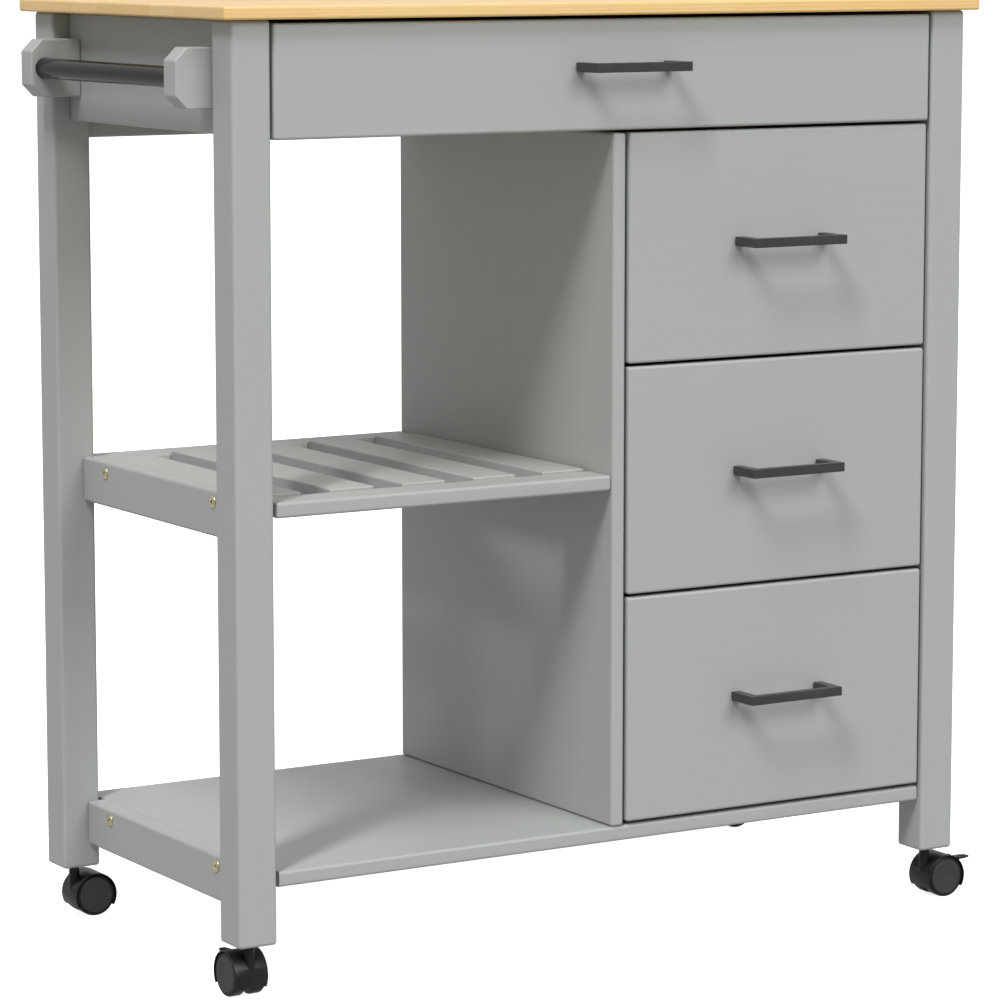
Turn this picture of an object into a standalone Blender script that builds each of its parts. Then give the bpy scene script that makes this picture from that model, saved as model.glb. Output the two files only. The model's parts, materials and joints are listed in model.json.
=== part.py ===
"""Kitchen island cart with a wooden worktop, four drawers, a slatted shelf and four twin-wheel casters.

Metres, +Z up. The cart's own coordinates run from the outer faces of the left legs (x), from the front
faces of the legs towards the back (y) and from the floor (z). The empty cart_corner carries them, and it is
placed so that the world origin lies on the floor, under the middle of the whole cart's bounding box.
"""

import math

import bmesh
import bpy
from mathutils import Vector

# Driving dimensions.
FRAME_WIDTH = 0.826
FRAME_DEPTH = 0.420
LEG_SIDE = 0.040
LEG_EDGE_RADIUS = 0.0035
CASTER_HEIGHT = 0.0525
LEG_TOP = 0.9095
TOP_THICKNESS = 0.0125
TOP_SIDE_OVERHANG = 0.012
TOP_FRONT_OVERHANG = 0.010
GAP = 0.0003
BOARD = 0.018
THIN_BOARD = 0.015
EDGE_RADIUS = 0.003

# Side boards and rails.
RAIL_RECESS = 0.0266
RAIL_HEIGHT = 0.0442
SHELF_RAIL_TOP = 0.4700
BOTTOM_RAIL_TOP = 0.1206
APRON_RECESS = 0.0182
APRON_BOTTOM = 0.8034
BACK_RAIL_BOTTOM = 0.7855
BACK_RAIL_FRONT = 0.392
BACK_RAIL_THICKNESS = 0.015
BACK_PANEL_FRONT = 0.408
BACK_PANEL_THICKNESS = 0.005

# Shelves and divider.
SHELF_FRONT = 0.005
BOTTOM_SHELF_BACK = 0.4195
BOTTOM_SHELF_TOP = 0.1206
DIVIDER_LEFT = 0.4114
DIVIDER_THICKNESS = 0.0144
DIVIDER_FRONT = 0.004
DIVIDER_BACK = 0.416
SLAT_COUNT = 5
SLAT_WIDTH = 0.0475
SLAT_PITCH = 0.0782
STRIP_DEPTH = 0.040
STRIP_TOP = 0.4676
BACK_STRIP_FRONT = 0.376

# Drawers. Heights are those of the fronts.
TOP_FRONT_BOTTOM = 0.8002
TOP_FRONT_TOP = 0.9060
TOP_FRONT_GAP = 0.003
LOWER_FRONT_HEIGHT = 0.2222
FRONT_GAP = 0.0032
LOWER_FRONT_RECESS = 0.003
LOWER_FRONT_RIGHT = 0.7835
FRONT_THICKNESS = 0.015
DRAWER_WALL = 0.012
DRAWER_FLOOR = 0.005
DRAWER_FLOOR_RISE = 0.006
DRAWER_BACK = 0.380
DRAWER_RIGHT = 0.7757
TOP_DRAWER_LEFT = 0.0503
LOWER_DRAWER_CLEARANCE = 0.006
TOP_BOX_RISE = 0.0165
TOP_BOX_HEIGHT = 0.083
LOWER_BOX_RISE = 0.018
LOWER_BOX_HEIGHT = 0.190
RUNNER_HEIGHT = 0.013

# Handles.
HANDLE_LENGTH = 0.109
HANDLE_HEIGHT = 0.009
HANDLE_END = 0.010
HANDLE_BAR = 0.008
HANDLE_REACH = 0.036
TOP_HANDLE_SHIFT = 0.0076
LOWER_HANDLE_RISE = 0.0025

# Towel bar.
BRACKET_REACH = 0.0348
BRACKET_WIDTH = 0.024
BRACKET_LOW = 0.8281
BRACKET_HIGH = 0.8842
BRACKET_CHAMFER = 0.0118
BRACKET_FROM_LEG = 0.0033
BAR_RADIUS = 0.010
BAR_OUT = 0.0201
BAR_SEAT = 0.012

# Bolts.
BOLT_HEAD_RADIUS = 0.006
BOLT_HEAD_HEIGHT = 0.0013
BOLT_RADIUS = 0.002
BOLT_LENGTH = 0.030
BOLT_FRONT_Y = 0.097
BOLT_BACK_Y = 0.328
SHELF_BOLT_Z = 0.459
BOTTOM_BOLT_Z = 0.110

# Casters, measured from the swivel axis (x, y) and the floor (z); a caster trails towards its own +X.
WHEEL_RADIUS = 0.021
TRAIL = 0.0165
HOOD_RADIUS = 0.0228
HOOD_WALL = 0.0012
HOOD_HALF_WIDTH = 0.0172
HOOD_BOTTOM = 0.0097
WEB_HALF = 0.004
WHEEL_INNER = 0.0046
WHEEL_OUTER = 0.0168
AXLE_RADIUS = 0.003
BOSS_RADIUS = 0.0052
STEM_RADIUS = 0.004
STEM_DEPTH = 0.030
BORE_RADIUS = 0.0046
LEVER_ANGLE = math.radians(35)
LEVER_BARREL = 0.0018
LEVER_STANDOFF = 0.0024
LEVER_TIP = 0.056
LEVER_HALF_WIDTH = 0.006
LEVER_THICKNESS = 0.0022
EAR_THICKNESS = 0.0018
ROUND_SIDES = 24

# Places worked out from the dimensions above.
FRAME_INNER_LEFT = RAIL_RECESS + BOARD
SIDE_PANEL_LEFT = FRAME_WIDTH - LEG_SIDE
DIVIDER_RIGHT = DIVIDER_LEFT + DIVIDER_THICKNESS
DIVIDER_TOP = TOP_FRONT_BOTTOM - FRONT_GAP
LEG_CENTRE = LEG_SIDE / 2
CART_LEFT = -BRACKET_REACH
CART_RIGHT = FRAME_WIDTH - LEG_CENTRE + LEVER_TIP
CART_FRONT = -HANDLE_REACH
CART_BACK = FRAME_DEPTH + TOP_FRONT_OVERHANG


def finish(name, colour, roughness, metallic=0.0):
    """A Principled material of one colour."""
    material = bpy.data.materials.new(name)
    material.use_nodes = True
    shader = material.node_tree.nodes["Principled BSDF"]
    shader.inputs["Base Color"].default_value = (*colour, 1.0)
    shader.inputs["Roughness"].default_value = roughness
    shader.inputs["Metallic"].default_value = metallic
    return material


def new_collection(name):
    collection = bpy.data.collections.new(name)
    bpy.context.scene.collection.children.link(collection)
    return collection


for old in list(bpy.data.objects):
    bpy.data.objects.remove(old)

CART = new_collection("kitchen_island_cart")
CUTTERS = new_collection("cutters")

GREY_PAINT = finish("grey_paint", (0.40, 0.42, 0.40), 0.5)
WORKTOP_WOOD = finish("worktop_wood", (0.83, 0.58, 0.30), 0.45)
DRAWER_WOOD = finish("drawer_wood", (0.74, 0.60, 0.42), 0.6)
FIBREBOARD = finish("fibreboard", (0.45, 0.46, 0.44), 0.6)
BLACK_METAL = finish("black_metal", (0.03, 0.03, 0.03), 0.4, 0.6)
BRASS = finish("brass", (0.75, 0.60, 0.28), 0.3, 1.0)
BLACK_PLASTIC = finish("black_plastic", (0.035, 0.035, 0.035), 0.4)
WHEEL_PLASTIC = finish("wheel_plastic", (0.05, 0.05, 0.05), 0.5)


def empty(name, location, parent=None, turn=0.0):
    """A guide that carries pieces; turn is its rotation about Z."""
    guide = bpy.data.objects.new(name, None)
    guide.location = location
    guide.rotation_euler.z = turn
    guide.parent = parent
    CART.objects.link(guide)
    return guide


CORNER = empty("cart_corner", (-(CART_LEFT + CART_RIGHT) / 2, -(CART_FRONT + CART_BACK) / 2, 0))


def add_object(name, mesh, material, parent, location=(0, 0, 0), rotation=(0, 0, 0)):
    """A mesh as a piece of the cart, or as a cutter when it has no material."""
    piece = bpy.data.objects.new(name, mesh)
    piece.parent = parent
    piece.location = location
    piece.rotation_euler = rotation
    if material is None:
        piece.display_type = "WIRE"
        piece.hide_render = True
        CUTTERS.objects.link(piece)
        return piece
    CART.objects.link(piece)
    if not mesh.materials:
        mesh.materials.append(material)
    return piece


def mesh_from(name, work):
    """A closed mesh from a bmesh, with its faces pointing out."""
    bmesh.ops.recalc_face_normals(work, faces=work.faces)
    mesh = bpy.data.meshes.new(name)
    work.to_mesh(mesh)
    work.free()
    return mesh


def box_mesh(name, size):
    work = bmesh.new()
    bmesh.ops.create_cube(work, size=1.0)
    bmesh.ops.scale(work, vec=size, verts=work.verts)
    return mesh_from(name, work)


def cylinder_mesh(name, radius, length, sides=ROUND_SIDES, top_radius=None):
    """A cylinder along Z, centred on its origin."""
    work = bmesh.new()
    bmesh.ops.create_cone(
        work,
        cap_ends=True,
        segments=sides,
        radius1=radius,
        radius2=radius if top_radius is None else top_radius,
        depth=length,
    )
    mesh = mesh_from(name, work)
    mesh.shade_smooth()
    mesh.set_sharp_from_angle(angle=math.radians(40))
    return mesh


def round_edges(piece, radius, segments=2):
    bevel = piece.modifiers.new("rounded_edges", "BEVEL")
    bevel.width = radius
    bevel.segments = segments
    bevel.limit_method = "ANGLE"


def board(name, low, high, material, radius=EDGE_RADIUS, segments=2, parent=CORNER):
    """A rectangular board between two corners of its parent's coordinates."""
    low = Vector(low)
    high = Vector(high)
    piece = add_object(name, box_mesh(name, high - low), material, parent, (low + high) / 2)
    if radius:
        round_edges(piece, radius, segments)
    return piece


def block_cutter(name, low, high, parent=CORNER):
    return board(name, low, high, None, radius=0, parent=parent)


def prism_mesh(name, outline, thickness):
    """A flat outline in the XY plane, extruded half its thickness to each side."""
    curve = bpy.data.curves.new(name, "CURVE")
    curve.dimensions = "2D"
    curve.fill_mode = "BOTH"
    curve.extrude = thickness / 2
    spline = curve.splines.new("POLY")
    spline.points.add(len(outline) - 1)
    for point, (x, y) in zip(spline.points, outline):
        point.co = (x, y, 0, 1)
    spline.use_cyclic_u = True
    guide = bpy.data.objects.new(name + "_outline", curve)
    CUTTERS.objects.link(guide)
    raw = bpy.data.meshes.new_from_object(guide.evaluated_get(bpy.context.evaluated_depsgraph_get()))
    work = bmesh.new()
    work.from_mesh(raw)
    bmesh.ops.remove_doubles(work, verts=work.verts, dist=0.00001)
    bpy.data.objects.remove(guide)
    bpy.data.curves.remove(curve)
    bpy.data.meshes.remove(raw)
    return mesh_from(name, work)


def combine(piece, other, operation="DIFFERENCE"):
    """An exact Boolean of piece with other, which stays as a hidden helper."""
    modifier = piece.modifiers.new(other.name, "BOOLEAN")
    modifier.operation = operation
    modifier.solver = "EXACT"
    modifier.object = other


def baked_mesh(name, piece, helpers):
    """The evaluated mesh of piece, placed as piece was, for copies to share; piece and helpers are removed."""
    bpy.context.view_layer.update()
    mesh = bpy.data.meshes.new_from_object(piece.evaluated_get(bpy.context.evaluated_depsgraph_get()))
    mesh.name = name
    mesh.transform(piece.matrix_world)
    mesh.shade_smooth()
    mesh.set_sharp_from_angle(angle=math.radians(35))
    for used in [piece, *helpers]:
        bpy.data.objects.remove(used)
    return mesh


def turned(name, profile, material, parent, location, rotation, steps):
    """A solid of revolution about its own Z; the profile's (radius, z) points run from top to bottom."""
    mesh = bpy.data.meshes.new(name)
    edges = [(i, i + 1) for i in range(len(profile) - 1)]
    mesh.from_pydata([(radius, 0, z) for radius, z in profile], edges, [])
    piece = add_object(name, mesh, material, parent, location, rotation)
    screw = piece.modifiers.new("turned", "SCREW")
    screw.axis = "Z"
    screw.steps = steps
    screw.render_steps = steps
    screw.use_merge_vertices = True
    screw.merge_threshold = 0.00001
    screw.use_smooth_shade = True
    return piece


def make_legs():
    """Four square posts, each with a blind bore for its caster's stem."""
    bore = cylinder_mesh("stem_bore", BORE_RADIUS, 2 * (STEM_DEPTH + 0.001), 16)
    for side, x in (("left", 0), ("right", FRAME_WIDTH - LEG_SIDE)):
        for end, y in (("front", 0), ("back", FRAME_DEPTH - LEG_SIDE)):
            name = f"leg_{end}_{side}"
            low = (x, y, CASTER_HEIGHT)
            high = (x + LEG_SIDE, y + LEG_SIDE, LEG_TOP - GAP)
            leg = board(name, low, high, GREY_PAINT, LEG_EDGE_RADIUS)
            centre = (x + LEG_CENTRE, y + LEG_CENTRE, CASTER_HEIGHT)
            combine(leg, add_object(f"{name}_bore", bore, None, CORNER, centre))


def make_worktop():
    board(
        "worktop",
        (-TOP_SIDE_OVERHANG, -TOP_FRONT_OVERHANG, LEG_TOP),
        (FRAME_WIDTH + TOP_SIDE_OVERHANG, FRAME_DEPTH + TOP_FRONT_OVERHANG, LEG_TOP + TOP_THICKNESS),
        WORKTOP_WOOD,
    )


def make_side_boards():
    """The boards between front and back legs, and the back of the cart."""
    front = LEG_SIDE + GAP
    back = FRAME_DEPTH - LEG_SIDE - GAP
    board(
        "side_apron",
        (APRON_RECESS, front, APRON_BOTTOM),
        (APRON_RECESS + BOARD, back, LEG_TOP - GAP),
        GREY_PAINT,
    )
    board(
        "side_panel",
        (SIDE_PANEL_LEFT, front, BOTTOM_SHELF_TOP - THIN_BOARD),
        (SIDE_PANEL_LEFT + BOARD, back, LEG_TOP - GAP),
        GREY_PAINT,
    )
    board(
        "back_rail",
        (LEG_SIDE + GAP, BACK_RAIL_FRONT, BACK_RAIL_BOTTOM),
        (FRAME_WIDTH - LEG_SIDE - GAP, BACK_RAIL_FRONT + BACK_RAIL_THICKNESS, LEG_TOP - GAP),
        GREY_PAINT,
    )
    board(
        "back_panel",
        (DIVIDER_RIGHT + GAP, BACK_PANEL_FRONT, BOTTOM_SHELF_TOP + GAP),
        (FRAME_WIDTH - LEG_SIDE - GAP, BACK_PANEL_FRONT + BACK_PANEL_THICKNESS, BACK_RAIL_BOTTOM - GAP),
        FIBREBOARD,
        radius=0,
    )


def make_divider():
    """The upright board beside the drawers, notched at the back under the back rail."""
    notch_y = BACK_RAIL_FRONT - GAP
    notch_z = BACK_RAIL_BOTTOM - GAP
    outline = [
        (DIVIDER_FRONT, BOTTOM_SHELF_TOP + GAP),
        (DIVIDER_BACK, BOTTOM_SHELF_TOP + GAP),
        (DIVIDER_BACK, notch_z),
        (notch_y, notch_z),
        (notch_y, DIVIDER_TOP),
        (DIVIDER_FRONT, DIVIDER_TOP),
    ]
    mesh = prism_mesh("divider", outline, DIVIDER_THICKNESS)
    middle = (DIVIDER_LEFT + DIVIDER_RIGHT) / 2
    quarter = math.pi / 2
    divider = add_object("divider", mesh, GREY_PAINT, CORNER, (middle, 0, 0), (quarter, 0, quarter))
    round_edges(divider, EDGE_RADIUS)


def make_bolt(name, y, z, boards):
    """A brass bolt through an end rail into the edge of a shelf board, with its hole in both."""
    head = BOLT_HEAD_RADIUS
    profile = [
        (0, BOLT_HEAD_HEIGHT),
        (0.6 * head, BOLT_HEAD_HEIGHT),
        (0.9 * head, 0.7 * BOLT_HEAD_HEIGHT),
        (head, 0.2 * BOLT_HEAD_HEIGHT),
        (head, 0),
        (BOLT_RADIUS, 0),
        (BOLT_RADIUS, -BOLT_LENGTH),
        (0, -BOLT_LENGTH),
    ]
    outwards = (0, -math.pi / 2, 0)
    turned(name, profile, BRASS, CORNER, (RAIL_RECESS - GAP, y, z), outwards, 16)
    length = BOLT_LENGTH + 2 * GAP
    hole = cylinder_mesh(f"{name}_hole", BOLT_RADIUS + 0.0004, 2 * length, 12)
    cutter = add_object(f"{name}_hole", hole, None, CORNER, (RAIL_RECESS, y, z), outwards)
    for piece in boards:
        combine(piece, cutter)


def make_end_rail(name, top):
    return board(
        name,
        (RAIL_RECESS, LEG_SIDE + GAP, top - RAIL_HEIGHT),
        (RAIL_RECESS + BOARD, FRAME_DEPTH - LEG_SIDE - GAP, top),
        GREY_PAINT,
    )


def make_bottom_shelf():
    shelf = board(
        "bottom_shelf",
        (FRAME_INNER_LEFT + GAP, SHELF_FRONT, BOTTOM_SHELF_TOP - THIN_BOARD),
        (SIDE_PANEL_LEFT - GAP, BOTTOM_SHELF_BACK, BOTTOM_SHELF_TOP),
        GREY_PAINT,
    )
    rail = make_end_rail("bottom_end_rail", BOTTOM_RAIL_TOP)
    make_bolt("bolt_bottom_front", BOLT_FRONT_Y, BOTTOM_BOLT_Z, [rail, shelf])
    make_bolt("bolt_bottom_back", BOLT_BACK_Y, BOTTOM_BOLT_Z, [rail, shelf])


def make_slatted_shelf():
    """Slats from front to back between two strips, hung from the end rail and the divider."""
    left = FRAME_INNER_LEFT + GAP
    right = DIVIDER_LEFT - GAP
    slat_front = SHELF_FRONT + STRIP_DEPTH + GAP
    slat_back = BACK_STRIP_FRONT - GAP
    for name, front in (("shelf_front_strip", SHELF_FRONT), ("shelf_back_strip", BACK_STRIP_FRONT)):
        board(
            name,
            (left, front, STRIP_TOP - THIN_BOARD),
            (right, front + STRIP_DEPTH, STRIP_TOP),
            GREY_PAINT,
        )
    rail = make_end_rail("shelf_end_rail", SHELF_RAIL_TOP)
    slats = []
    for i in range(SLAT_COUNT):
        x = left + i * SLAT_PITCH
        low = (x, slat_front, SHELF_RAIL_TOP - THIN_BOARD)
        high = (x + SLAT_WIDTH, slat_back, SHELF_RAIL_TOP)
        slats.append(board(f"shelf_slat_{i + 1}", low, high, GREY_PAINT, EDGE_RADIUS / 2))
    make_bolt("bolt_shelf_front", BOLT_FRONT_Y, SHELF_BOLT_Z, [rail, slats[0]])
    make_bolt("bolt_shelf_back", BOLT_BACK_Y, SHELF_BOLT_Z, [rail, slats[0]])


def make_towel_bar():
    """Two chamfered brackets on the apron with a round bar seated in blind holes between them."""
    inner = APRON_RECESS - GAP
    outer = -BRACKET_REACH
    outline = [
        (inner, BRACKET_LOW),
        (inner, BRACKET_HIGH),
        (outer + BRACKET_CHAMFER, BRACKET_HIGH),
        (outer, BRACKET_HIGH - BRACKET_CHAMFER),
        (outer, BRACKET_LOW + BRACKET_CHAMFER),
        (outer + BRACKET_CHAMFER, BRACKET_LOW),
    ]
    upright = (math.pi / 2, 0, 0)
    front_y = LEG_SIDE + BRACKET_FROM_LEG + BRACKET_WIDTH / 2
    back_y = FRAME_DEPTH - front_y
    middle_z = (BRACKET_LOW + BRACKET_HIGH) / 2
    seat = BAR_SEAT - BRACKET_WIDTH / 2
    bar_length = back_y - front_y + 2 * seat
    hole_mesh = cylinder_mesh("bar_hole", BAR_RADIUS + 0.0004, bar_length + 2 * GAP)
    centre = (-BAR_OUT, (front_y + back_y) / 2, middle_z)
    hole = add_object("bar_hole", hole_mesh, None, CORNER, centre, upright)
    for name, y in (("towel_bracket_front", front_y), ("towel_bracket_back", back_y)):
        mesh = prism_mesh(name, outline, BRACKET_WIDTH)
        bracket = add_object(name, mesh, GREY_PAINT, CORNER, (0, y, 0), upright)
        round_edges(bracket, 0.0012, 1)
        combine(bracket, hole)
    add_object("towel_bar", cylinder_mesh("towel_bar", BAR_RADIUS, bar_length), BLACK_METAL, CORNER, centre, upright)


def handle_mesh():
    """A flat U that stands out from the drawer front, towards -Y."""
    half = HANDLE_LENGTH / 2
    inner = half - HANDLE_END
    reach = -HANDLE_REACH
    outline = [
        (-half, -GAP),
        (-half, reach),
        (half, reach),
        (half, -GAP),
        (inner, -GAP),
        (inner, reach + HANDLE_BAR),
        (-inner, reach + HANDLE_BAR),
        (-inner, -GAP),
    ]
    return prism_mesh("handle", outline, HANDLE_HEIGHT)


def make_drawer(name, low, high, box_left, box_rise, box_height, handle_shift, handles):
    """A drawer whose front spans low to high; its parts ride on an empty at the front's centre."""
    low = Vector(low)
    high = Vector(high)
    centre = Vector(((low.x + high.x) / 2, low.y, (low.z + high.z) / 2))
    slide = empty(f"{name}_slide", centre, CORNER)
    thickness = Vector((0, FRONT_THICKNESS, 0))
    board(f"{name}_front", low - centre, high - centre + thickness, GREY_PAINT, parent=slide)

    front_y = FRONT_THICKNESS + GAP
    box_low = Vector((box_left - centre.x, front_y, low.z + box_rise - centre.z))
    box_high = Vector((DRAWER_RIGHT - centre.x, DRAWER_BACK - centre.y, box_low.z + box_height))
    box = board(f"{name}_box", box_low, box_high, DRAWER_WOOD, radius=0, parent=slide)
    wall = DRAWER_WALL
    floor_low = box_low.z + DRAWER_FLOOR_RISE
    inside = block_cutter(
        f"{name}_inside",
        (box_low.x + wall, box_low.y - wall, floor_low + DRAWER_FLOOR),
        (box_high.x - wall, box_high.y - wall, box_high.z + wall),
        slide,
    )
    underside = block_cutter(
        f"{name}_underside",
        (box_low.x + wall, box_low.y - wall, box_low.z - wall),
        (box_high.x - wall, box_high.y - wall, floor_low),
        slide,
    )
    combine(box, inside)
    combine(box, underside)

    handle = add_object(f"{name}_handle", handles, BLACK_METAL, slide, handle_shift)
    round_edges(handle, 0.0006, 1)


def make_runner_pair(name, box_bottom, left, box_left, right):
    """Two strips that carry a drawer's sides, from the boards on both sides of it."""
    front = LEG_SIDE + GAP
    back = FRAME_DEPTH - LEG_SIDE - GAP
    top = box_bottom - GAP
    for side, x_low, x_high in (
        ("left", left + GAP, box_left + DRAWER_WALL),
        ("right", DRAWER_RIGHT - DRAWER_WALL, right - GAP),
    ):
        low = (x_low, front, top - RUNNER_HEIGHT)
        board(f"runner_{name}_{side}", low, (x_high, back, top), DRAWER_WOOD, radius=0)


def make_drawers():
    handles = handle_mesh()
    make_drawer(
        "drawer_top",
        (LEG_SIDE + TOP_FRONT_GAP, 0, TOP_FRONT_BOTTOM),
        (FRAME_WIDTH - LEG_SIDE - TOP_FRONT_GAP, 0, TOP_FRONT_TOP),
        TOP_DRAWER_LEFT,
        TOP_BOX_RISE,
        TOP_BOX_HEIGHT,
        (TOP_HANDLE_SHIFT, 0, TOP_HANDLE_SHIFT),
        handles,
    )
    apron_inner = APRON_RECESS + BOARD
    make_runner_pair("top", TOP_FRONT_BOTTOM + TOP_BOX_RISE, apron_inner, TOP_DRAWER_LEFT, SIDE_PANEL_LEFT)
    box_left = DIVIDER_RIGHT + LOWER_DRAWER_CLEARANCE
    for i, name in enumerate(("upper", "middle", "lower")):
        top = TOP_FRONT_BOTTOM - FRONT_GAP - i * (LOWER_FRONT_HEIGHT + FRONT_GAP)
        bottom = top - LOWER_FRONT_HEIGHT
        make_drawer(
            f"drawer_{name}",
            (DIVIDER_RIGHT + FRONT_GAP, LOWER_FRONT_RECESS, bottom),
            (LOWER_FRONT_RIGHT, LOWER_FRONT_RECESS, top),
            box_left,
            LOWER_BOX_RISE,
            LOWER_BOX_HEIGHT,
            (0, 0, LOWER_HANDLE_RISE),
            handles,
        )
        make_runner_pair(name, bottom + LOWER_BOX_RISE, DIVIDER_RIGHT, box_left, SIDE_PANEL_LEFT)


def barrel_place():
    """The brake lever's pivot, seen from the swivel axis on the floor."""
    reach = HOOD_RADIUS + LEVER_STANDOFF
    return (TRAIL + reach * math.cos(LEVER_ANGLE), 0, WHEEL_RADIUS + reach * math.sin(LEVER_ANGLE))


def housing_mesh(with_brake):
    """A hood over both wheels, the web between them and the boss with its stem, as one moulding."""
    across = (math.pi / 2, 0, 0)
    axle = (TRAIL, 0, WHEEL_RADIUS)
    helpers = []

    def helper(name, mesh, location, rotation=(0, 0, 0)):
        helpers.append(add_object(name, mesh, None, None, location, rotation))
        return helpers[-1]

    body_mesh = cylinder_mesh("hood", HOOD_RADIUS, 2 * HOOD_HALF_WIDTH, 32)
    body = add_object("hood", body_mesh, BLACK_PLASTIC, None, axle, across)
    boss_top = CASTER_HEIGHT - 0.0008
    boss_length = boss_top - WHEEL_RADIUS
    boss_mesh = cylinder_mesh("boss", BOSS_RADIUS + 0.0006, boss_length, 20, BOSS_RADIUS)
    combine(body, helper("boss", boss_mesh, (0, 0, boss_top - boss_length / 2)), "UNION")
    stem_length = STEM_DEPTH + 0.004
    stem_mesh = cylinder_mesh("stem", STEM_RADIUS, stem_length, 16)
    combine(body, helper("stem", stem_mesh, (0, 0, CASTER_HEIGHT + STEM_DEPTH - stem_length / 2)), "UNION")
    if with_brake:
        x, _, z = barrel_place()
        ear_mesh = cylinder_mesh("ear", LEVER_BARREL + 0.001, EAR_THICKNESS, 12)
        ear_y = LEVER_HALF_WIDTH + GAP + EAR_THICKNESS / 2
        combine(body, helper("ear_near", ear_mesh, (x, -ear_y, z), across), "UNION")
        combine(body, helper("ear_far", ear_mesh, (x, ear_y, z), across), "UNION")
    cavity_radius = HOOD_RADIUS - HOOD_WALL
    cavity_mesh = cylinder_mesh("wheel_cavity", cavity_radius, 2 * HOOD_HALF_WIDTH, 32)
    cavity_y = WEB_HALF + HOOD_HALF_WIDTH
    combine(body, helper("cavity_near", cavity_mesh, (TRAIL, -cavity_y, WHEEL_RADIUS), across))
    combine(body, helper("cavity_far", cavity_mesh, (TRAIL, cavity_y, WHEEL_RADIUS), across))
    axle_bore = cylinder_mesh("axle_bore", AXLE_RADIUS + 0.0004, 4 * WEB_HALF, 16)
    combine(body, helper("axle_bore", axle_bore, axle, across))
    slab = 2 * HOOD_RADIUS
    below = box_mesh("below_hood", (3 * HOOD_RADIUS, 3 * HOOD_HALF_WIDTH, slab))
    combine(body, helper("below_hood", below, (TRAIL, 0, HOOD_BOTTOM - slab / 2)))
    return baked_mesh("housing_with_brake" if with_brake else "housing", body, helpers)


def make_wheel(name, parent):
    """Two wheels on one axle, turned about the axle."""
    rim = WHEEL_RADIUS
    half = [
        (0, WHEEL_OUTER),
        (0.82 * rim, WHEEL_OUTER),
        (0.97 * rim, WHEEL_OUTER - 0.0006),
        (rim, WHEEL_OUTER - 0.0022),
        (rim, WHEEL_INNER + 0.0012),
        (0.95 * rim, WHEEL_INNER),
        (AXLE_RADIUS, WHEEL_INNER),
    ]
    profile = half + [(radius, -z) for radius, z in reversed(half)]
    turned(name, profile, WHEEL_PLASTIC, parent, (0, 0, 0), (math.pi / 2, 0, 0), ROUND_SIDES)


def lever_mesh():
    """A flat tab on a hinge barrel; its origin is on the pivot and it points along +X."""
    x, _, z = barrel_place()
    length = LEVER_TIP - x
    half = LEVER_HALF_WIDTH
    outline = [
        (0, -half),
        (0.55 * length, -half),
        (length, -0.45 * half),
        (length, 0.45 * half),
        (0.55 * length, half),
        (0, half),
    ]
    tab = add_object("tab", prism_mesh("tab", outline, LEVER_THICKNESS), BLACK_PLASTIC, None)
    barrel_mesh = cylinder_mesh("barrel", LEVER_BARREL, 2 * half, 16)
    barrel = add_object("barrel", barrel_mesh, None, None, rotation=(math.pi / 2, 0, 0))
    combine(tab, barrel, "UNION")
    return baked_mesh("brake_lever", tab, [barrel])


def make_casters():
    """Casters stand under the legs' centres; heading is the way the wheels trail from the swivel axis."""
    near = LEG_CENTRE
    far = FRAME_DEPTH - LEG_CENTRE
    right = FRAME_WIDTH - LEG_CENTRE
    braked = housing_mesh(True)
    plain = housing_mesh(False)
    lever = lever_mesh()
    for name, x, y, heading, brake in (
        ("front_left", near, near, math.pi / 2, True),
        ("front_right", right, near, 0, True),
        ("back_left", near, far, 0, False),
        ("back_right", right, far, 0, False),
    ):
        swivel = empty(f"caster_{name}_swivel", (x, y, 0), CORNER, heading)
        add_object(f"caster_{name}_housing", braked if brake else plain, BLACK_PLASTIC, swivel)
        axle = empty(f"caster_{name}_axle", (TRAIL, 0, WHEEL_RADIUS), swivel)
        make_wheel(f"caster_{name}_wheels", axle)
        if brake:
            add_object(f"caster_{name}_brake", lever, BLACK_PLASTIC, swivel, barrel_place())


make_legs()
make_worktop()
make_side_boards()
make_divider()
make_bottom_shelf()
make_slatted_shelf()
make_towel_bar()
make_drawers()
make_casters()
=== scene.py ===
"""Looks of the kitchen island cart: boards, fittings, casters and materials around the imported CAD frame.

Metres, +Z up. The origin is on the floor under the middle of the cart, -Y is the drawers' side and -X the
towel bar's side. Places and sizes come from the CAD nodes' boxes and from the record's joints.
"""

import json
import math

import bmesh
import bpy
from mathutils import Matrix, Vector

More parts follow.
